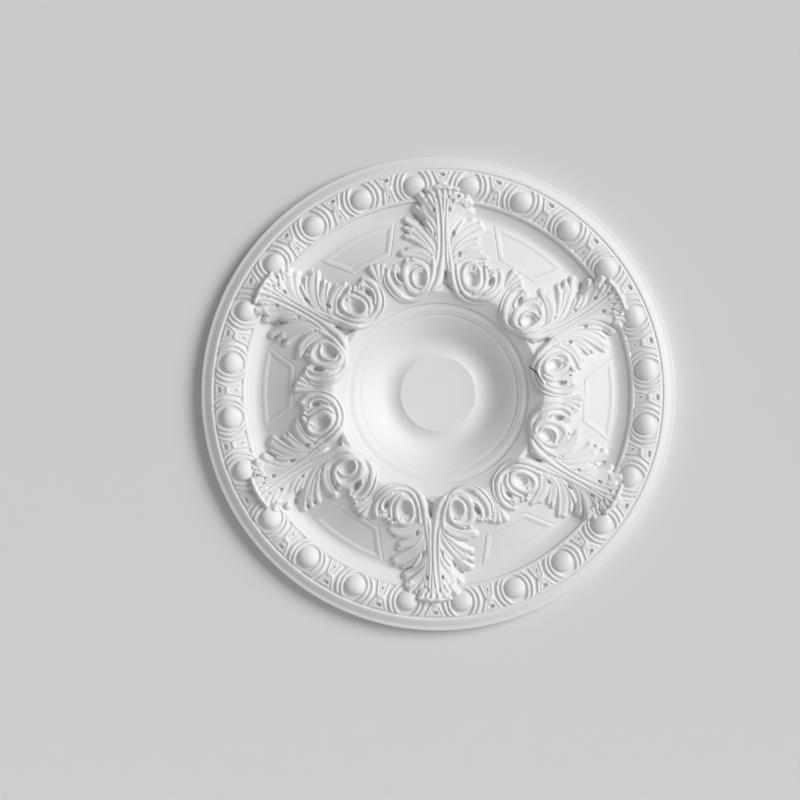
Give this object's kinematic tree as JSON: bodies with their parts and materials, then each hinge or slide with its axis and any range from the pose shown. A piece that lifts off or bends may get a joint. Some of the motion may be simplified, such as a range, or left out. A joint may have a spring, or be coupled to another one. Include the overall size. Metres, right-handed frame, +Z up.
{
  "type": "ceiling rose",
  "caption": "Round cast ceiling rose with a flat back, an egg band under its rim, sunken panels and acanthus leaves that grow from scrolls round a plain middle disc.",
  "frame": {"origin": "middle of the flat back, on the face that is glued to the ceiling", "axes": "+Y out of the flat back, into the ceiling or wall that holds the rose; the ornament faces -Y; +Z up as the picture shows it, along the first leaf"},
  "size_m": [0.7, 0.0629, 0.7],
  "materials": {
    "cast_white": "matt white, as cast and primed"
  },
  "bodies": {
    "root": {"ceiling_rose": "cast_white"}
  },
  "joints": []
}
